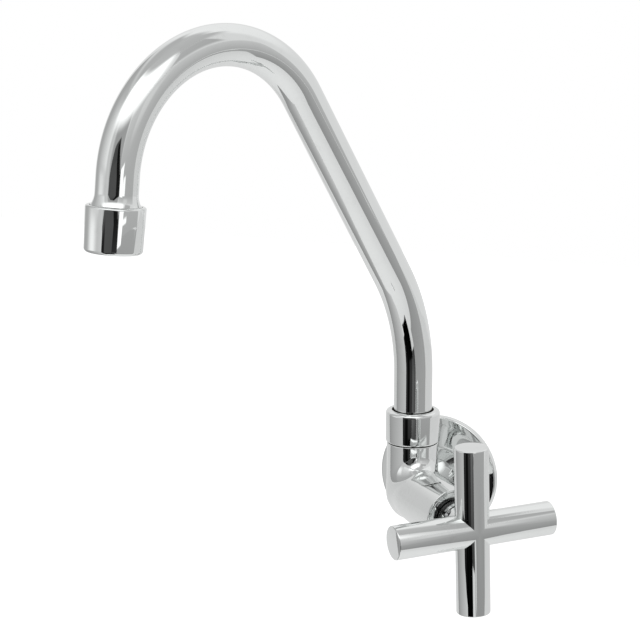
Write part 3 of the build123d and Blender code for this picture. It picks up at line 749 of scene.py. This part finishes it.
# Sheets that only the chrome sees, and of two in one direction it sees the nearer
# side: left and right edge at the foot and, where a sheet tapers, at the head, in degrees round the
#     room (0 straight out of the wall, + to the right)
# height: foot and head in degrees above the horizon
# far: distance of the left and the right edge in metres
# level: brightness at foot left, foot right, head left and head right
# soft: the share of the sheet that fades at the left, the right, the foot and the head
sheets = {
    "backGlow": {"side": (122, 238), "height": (18, 74), "far": (1.4, 1.4),
                 "level": (0.92, 0.92, 1.0, 1.0), "soft": (0.15, 0.15, 0.3, 0.2)},
    "crown": {"side": (-180, 180), "height": (58, 89.9), "far": (2.2, 2.2),
              "level": (0.60, 0.60, 0.55, 0.55), "soft": (0.002, 0.002, 0.25, 0.002)},
    "leftBack": {"side": (-128, -103), "height": (-34, 26), "far": (0.40, 0.345),
                 "level": (0.70, 0.66, 0.72, 0.64), "soft": (0.15, 0.15, 0.3, 0.3)},
    "ceilingLeft": {"side": (-150, -40), "height": (47, 88), "far": (1.2, 1.2),
                    "level": (0.50, 0.50, 0.54, 0.54), "soft": (0.15, 0.15, 0.35, 0.35)},
    "ceilingRight": {"side": (64, 150), "height": (52, 88), "far": (1.3, 1.3),
                     "level": (0.52, 0.56, 0.54, 0.56), "soft": (0.15, 0.15, 0.35, 0.35)},
    "rightBrow": {"side": (72, 106), "height": (28, 68), "far": (1.1, 1.1),
                  "level": (0.50, 0.46, 0.52, 0.50), "soft": (0.1, 0.1, 0.3, 0.3)},
    "leftLow": {"side": (-103.5, -22), "height": (-62, -8.6), "far": (0.35, 1.85),
                "level": (0.28, 0.72, 0.36, 0.58), "soft": (0.01, 0.01, 0.03, 0.002)},
    "leftHigh": {"side": (-103.5, -22), "height": (-9, 56), "far": (0.35, 1.85),
                 "level": (0.42, 0.68, 0.44, 0.66), "soft": (0.01, 0.01, 0.002, 0.15)},
    "leftGlow": {"side": (-86, -36), "height": (-8.5, 10), "far": (0.55, 1.5),
                 "level": (1.12, 1.12, 0.98, 0.98), "soft": (0.48, 0.45, 0.04, 0.5)},
    "leftRise": {"side": (-92, -33, -92, -27), "height": (2, 48), "far": (0.50, 1.5),
                 "level": (0.42, 0.98, 0.42, 1.05), "soft": (0.1, 0.16, 0.2, 0.3)},
    "rightLow": {"side": (36.5, 103.7), "height": (-33.5, -6), "far": (2.2, 0.60),
                 "level": (0.32, 0.34, 0.42, 0.44), "soft": (0.01, 0.01, 0.04, 0.002)},
    "rightBack": {"side": (96, 104, 104, 114), "height": (-16, -6.5), "far": (0.64, 0.60),
                  "level": (0.41, 0.41, 0.43, 0.43), "soft": (0.3, 0.1, 0.05, 0.002)},
    "rightHigh": {"side": (36.5, 114), "height": (-6.5, 32), "far": (2.2, 0.60),
                  "level": (0.46, 0.48, 0.70, 0.66), "soft": (0.01, 0.01, 0.002, 0.15)},
    "rightGlow": {"side": (56, 82), "height": (4, 34), "far": (1.3, 0.9),
                  "level": (0.66, 0.66, 0.80, 0.80), "soft": (0.3, 0.3, 0.4, 0.4)},
    "rightLamp": {"side": (31, 56), "height": (3.4, 6.3), "far": (0.54, 0.48),
                  "level": (1.3, 1.3, 1.3, 1.3), "soft": (0.1, 0.12, 0.2, 0.3)},
    "greyBrow": {"side": (-30, 40, -24, 34), "height": (0, 40), "far": (1.95, 1.95),
                 "level": (0.40, 0.40, 0.37, 0.39), "soft": (0.25, 0.1, 0.02, 0.3)},
    "darkRoom": {"side": (-23.8, 37), "height": (-9.5, 2.5), "far": (0.33, 1.9),
                 "level": (0.085, 0.075, 0.090, 0.090), "soft": (0.015, 0.015, 0.02, 0.002)},
    "darkMiddle": {"side": (-23.8, 37, -23.2, 25.5), "height": (2, 12), "far": (0.33, 1.9),
                   "level": (0.090, 0.090, 0.090, 0.08), "soft": (0.02, 0.02, 0.002, 0.002)},
    "darkCrown": {"side": (-23.2, 26, -13, 14), "height": (11.5, 24.5), "far": (0.33, 1.9),
                  "level": (0.090, 0.06, 0.10, 0.04), "soft": (0.06, 0.04, 0.002, 0.15)},
    "darkPost": {"side": (-23, -12), "height": (-9.5, 11), "far": (0.32, 0.60),
                 "level": (0.004, 0.012, 0.01, 0.03), "soft": (0.12, 0.18, 0.02, 0.3)},
    "darkDoor": {"side": (14, 37, 18, 36), "height": (-9.5, 1.5), "far": (1.25, 1.86),
                 "level": (0.035, 0.033, 0.012, 0.010), "soft": (0.06, 0.03, 0.02, 0.002)},
    "doorHead": {"side": (18, 35.5, 6, 14), "height": (1, 22), "far": (1.25, 1.86),
                 "level": (0.010, 0.010, 0.002, 0.004), "soft": (0.15, 0.06, 0.02, 0.1)},
    "darkBench": {"side": (-23.8, 18), "height": (-40, -9.5), "far": (0.33, 1.35),
                  "level": (0.001, 0.001, 0.03, 0.055), "soft": (0.02, 0.02, 0.02, 0.02)},
    "benchMiddle": {"side": (-14, 3), "height": (-40, -9.5), "far": (0.55, 0.95),
                    "level": (0.0, 0.0, 0.004, 0.006), "soft": (0.25, 0.25, 0.05, 0.05)},
    "benchFoot": {"side": (-16, 24), "height": (-45, -23), "far": (0.9, 1.0),
                  "level": (0.0, 0.0, 0.002, 0.002), "soft": (0.04, 0.04, 0.05, 0.1)},
    "benchRight": {"side": (17, 37), "height": (-27, -9.5), "far": (1.3, 1.88),
                   "level": (0.05, 0.06, 0.19, 0.07), "soft": (0.04, 0.04, 0.05, 0.02)},
    "overheadBox": {"side": (-56, 72), "height": (28, 71), "far": (0.95, 0.95),
                    "level": (1.5, 1.5, 1.5, 1.5), "soft": (0.15, 0.15, 0.35, 0.25)},
    "slimStrip": {"side": (34.5, 48, 37, 53), "height": (-7.5, 5.5), "far": (1.22, 1.22),
                  "level": (1.35, 1.35, 1.35, 1.35), "soft": (0.05, 0.05, 0.05, 0.1)}}


def makeSheetLook(name, sheet):
    # the level runs between its four corners, and the edges fade out
    material = bpy.data.materials.new(name)
    material.use_nodes = True
    tree = material.node_tree
    tree.nodes.clear()
    place = addNode(tree, "ShaderNodeTexCoord", -900, 0)
    split = addNode(tree, "ShaderNodeSeparateXYZ", -700, 0)
    link(tree, place, "UV", split, "Vector")
    mask = None
    for n, share in enumerate(sheet["soft"]):  # left, right, foot, head
        low, high = (0, share) if n % 2 == 0 else (1, 1 - share)
        edge = stretch(tree, split.outputs["X" if n < 2 else "Y"], low, high, -200, -200 * n)
        mask = edge if mask is None else multiply(tree, mask, edge, 0, -200 * n)
    level = addNode(tree, "ShaderNodeMapRange", 0, 150)
    for n, end in enumerate(("To Min", "To Max")):
        across = addNode(tree, "ShaderNodeMapRange", -200, 350 + 200 * n)
        for key, value in zip(("To Min", "To Max"), sheet["level"][2 * n:]):
            across.inputs[key].default_value = value
        tree.links.new(split.outputs["X"], across.inputs["Value"])
        link(tree, across, "Result", level, end)
    tree.links.new(split.outputs["Y"], level.inputs["Value"])
    glow = addNode(tree, "ShaderNodeEmission", 200, 100)
    link(tree, level, "Result", glow, "Strength")
    clear = addNode(tree, "ShaderNodeBsdfTransparent", 200, -100)
    choice = addNode(tree, "ShaderNodeMixShader", 400, 0)
    tree.links.new(mask, choice.inputs["Fac"])
    link(tree, clear, "BSDF", choice, 1)
    link(tree, glow, "Emission", choice, 2)
    out = addNode(tree, "ShaderNodeOutputMaterial", 600, 0)
    link(tree, choice, "Shader", out, "Surface")
    return material


def hangSheet(name, sheet):
    # curved round the tap: a grid bent by its angles, foot at the bottom of its UV
    left, right, headLeft, headRight = (sheet["side"] * 2)[:4]  # a pair stands for foot and head alike
    foot, head = sheet["height"]
    freshStart()
    bpy.ops.mesh.primitive_grid_add(
        x_subdivisions=studio["sheetColumns"], y_subdivisions=studio["sheetRows"], size=2)
    sheetPiece = bpy.context.active_object
    for vertex in sheetPiece.data.vertices:
        share, rise = (vertex.co.x + 1) / 2, (vertex.co.y + 1) / 2
        low, top = left + (right - left) * share, headLeft + (headRight - headLeft) * share
        side, high = radians(low + (top - low) * rise), radians(foot + (head - foot) * rise)
        spot = Vector((sin(side) * cos(high), -cos(side) * cos(high), sin(high)))
        far = sheet["far"][0] * (1 - share) + sheet["far"][1] * share
        vertex.co = Vector(studio["aim"]) + spot * far
    sheetPiece.name = name
    sheetPiece.data.materials.append(makeSheetLook(name, sheet))
    sheetPiece.visible_camera = False
    sheetPiece.visible_diffuse = False
    sheetPiece.visible_shadow = False


def makeFloor():
    freshStart()
    bpy.ops.mesh.primitive_plane_add(size=studio["floorSize"], location=(0, 0, studio["floor"]))
    floor = bpy.context.active_object
    floor.name = "studioFloor"
    material, tree, shader = newMaterial("studioFloor")
    shader.inputs["Base Color"].default_value = studio["floorColour"]
    shader.inputs["Roughness"].default_value = studio["floorRough"]
    path = addNode(tree, "ShaderNodeLightPath", -400, -200)
    glow = addNode(tree, "ShaderNodeEmission", 0, -300, Color=(1, 1, 1, 1), Strength=studio["floorGlow"])
    seen = addNode(tree, "ShaderNodeAddShader", 200, -100)
    link(tree, shader, "BSDF", seen, 0)
    link(tree, glow, "Emission", seen, 1)
    choice = addNode(tree, "ShaderNodeMixShader", 400, 0)
    link(tree, path, "Is Camera Ray", choice, "Fac")
    link(tree, shader, "BSDF", choice, 1)
    link(tree, seen, "Shader", choice, 2)
    link(tree, choice, "Shader", tree.nodes["Material Output"], "Surface")
    floor.data.materials.append(material)


def makeSurroundings():
    world = bpy.data.worlds.new("studio")
    bpy.context.scene.world = world
    world.use_nodes = True
    tree = world.node_tree
    tree.nodes.clear()
    path = addNode(tree, "ShaderNodeLightPath", -400, 200)
    around = addNode(tree, "ShaderNodeBackground", -100, 100, Color=(1, 1, 1, 1), Strength=studio["around"])
    white = addNode(tree, "ShaderNodeBackground", -100, -100, Color=(1, 1, 1, 1), Strength=1.0)
    choice = addNode(tree, "ShaderNodeMixShader", 150, 0)
    out = addNode(tree, "ShaderNodeOutputWorld", 350, 0)
    link(tree, path, "Is Camera Ray", choice, "Fac")
    link(tree, around, "Background", choice, 1)
    link(tree, white, "Background", choice, 2)
    link(tree, choice, "Shader", out, "Surface")


def makeLamp():
    data = bpy.data.lights.new("overheadLamp", "AREA")
    data.shape = "DISK"
    data.size = studio["lampSize"]
    data.energy = studio["lampPower"]
    lamp = bpy.data.objects.new("overheadLamp", data)
    lamp.location = studio["lampPlace"]
    lamp.rotation_euler = (Vector(studio["aim"]) - lamp.location).to_track_quat("-Z", "Y").to_euler()
    lamp.visible_glossy = False
    bpy.context.scene.collection.objects.link(lamp)


makeFloor()
makeSurroundings()
makeLamp()
for sheetName, sheet in sheets.items():
    hangSheet(sheetName, sheet)
print("studio ready")


# Camera, from the same fit that gave the sizes: turned and dipped in degrees, focal length in pixels of
# the image, and the casting's corner at a depth in mm and at a pixel

view = {
    "turn": 23.09, "dip": 12.87, "focal": 2180.54, "imageSide": 640, "sensor": 36.0, "depth": 1033.74,
    "cornerPixel": (412.08, 489.68)}


def makeCamera():
    turn, dip = radians(view["turn"]), radians(view["dip"])
    right = Vector((cos(turn), sin(turn), 0))
    ahead = Vector((-sin(turn) * cos(dip), cos(turn) * cos(dip), -sin(dip)))
    cameraUp = right.cross(ahead)
    middle = view["imageSide"] / 2
    depth = view["depth"] * mm
    sideways = (view["cornerPixel"][0] - middle) / view["focal"] * depth
    downwards = (view["cornerPixel"][1] - middle) / view["focal"] * depth
    data = bpy.data.cameras.new("photoCamera")
    data.sensor_width = view["sensor"]
    data.lens = view["focal"] / view["imageSide"] * view["sensor"]
    camera = bpy.data.objects.new("photoCamera", data)
    camera.location = corner - ahead * depth - right * sideways + cameraUp * downwards
    camera.rotation_euler = (pi / 2 - dip, 0, turn)
    bpy.context.scene.collection.objects.link(camera)
    bpy.context.scene.camera = camera


makeCamera()
bpy.context.scene.view_settings.view_transform = "Standard"
